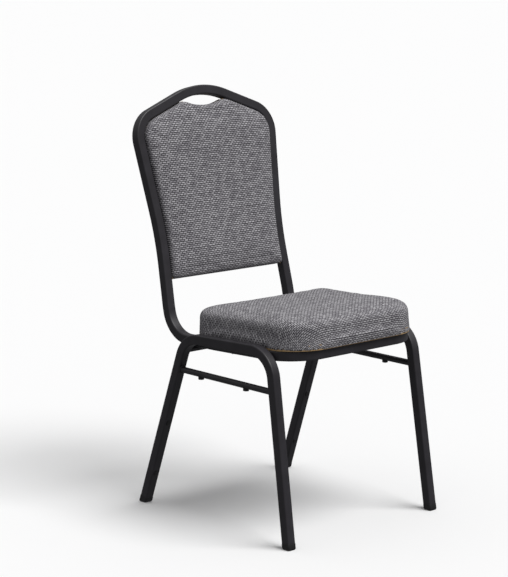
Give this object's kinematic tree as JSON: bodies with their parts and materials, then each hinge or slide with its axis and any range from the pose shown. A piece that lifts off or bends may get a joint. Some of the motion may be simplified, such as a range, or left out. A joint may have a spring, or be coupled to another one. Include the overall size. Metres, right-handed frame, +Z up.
{
  "type": "stacking chair",
  "caption": "Stacking chair: bent square-tube frame in black powder coat, crowned open-topped back hoop with hand hole, grey tweed seat cushion and back pad.",
  "frame": {"origin": "on the floor, under the middle of the chair's overall width and depth", "axes": "+Z up, +X to the sitter's left, -Y is the way the sitter faces"},
  "size_m": [0.473, 0.5797, 0.9655],
  "materials": {
    "powder_coat": "black powder coat with a faint silver vein, half matt",
    "plastic": "black moulded plastic",
    "tweed": "grey tweed with a small diamond weave of light and dark yarns",
    "plywood": "bare plywood",
    "foam": "cut polyurethane foam",
    "zinc": "bright zinc plate",
    "lining": "black spun-bonded lining"
  },
  "bodies": {
    "root": {"back_board": "plywood", "back_cover": "tweed", "back_foam": "foam", "back_hoop": "powder_coat", "left_front_bumper": "plastic", "left_front_glide": "plastic", "left_front_seat_screw": "zinc", "left_front_seat_tab": "powder_coat", "left_front_tee_nut": "zinc", "left_leg_frame": "powder_coat", "left_lower_back_screw": "zinc", "left_lower_back_tab": "powder_coat", "left_lower_button": "plastic", "left_lower_panel_clip": "plastic", "left_rear_bumper": "plastic", "left_rear_glide": "plastic", "left_rear_seat_screw": "zinc", "left_rear_seat_tab": "powder_coat", "left_rear_tee_nut": "zinc", "left_stretcher": "powder_coat", "left_upper_back_screw": "zinc", "left_upper_back_tab": "powder_coat", "left_upper_button": "plastic", "left_upper_panel_clip": "plastic", "rear_crossbar": "powder_coat", "rear_panel_board": "plywood", "rear_panel_cover": "tweed", "rear_panel_foam": "foam", "right_front_bumper": "plastic", "right_front_glide": "plastic", "right_front_seat_screw": "zinc", "right_front_seat_tab": "powder_coat", "right_front_tee_nut": "zinc", "right_leg_frame": "powder_coat", "right_lower_back_screw": "zinc", "right_lower_back_tab": "powder_coat", "right_lower_button": "plastic", "right_lower_panel_clip": "plastic", "right_rear_bumper": "plastic", "right_rear_glide": "plastic", "right_rear_seat_screw": "zinc", "right_rear_seat_tab": "powder_coat", "right_rear_tee_nut": "zinc", "right_stretcher": "powder_coat", "right_upper_back_screw": "zinc", "right_upper_back_tab": "powder_coat", "right_upper_button": "plastic", "right_upper_panel_clip": "plastic", "seat_board": "plywood", "seat_cover": "tweed", "seat_dust_cover": "lining", "seat_foam": "foam", "seat_front_hoop": "powder_coat"}
  },
  "joints": []
}
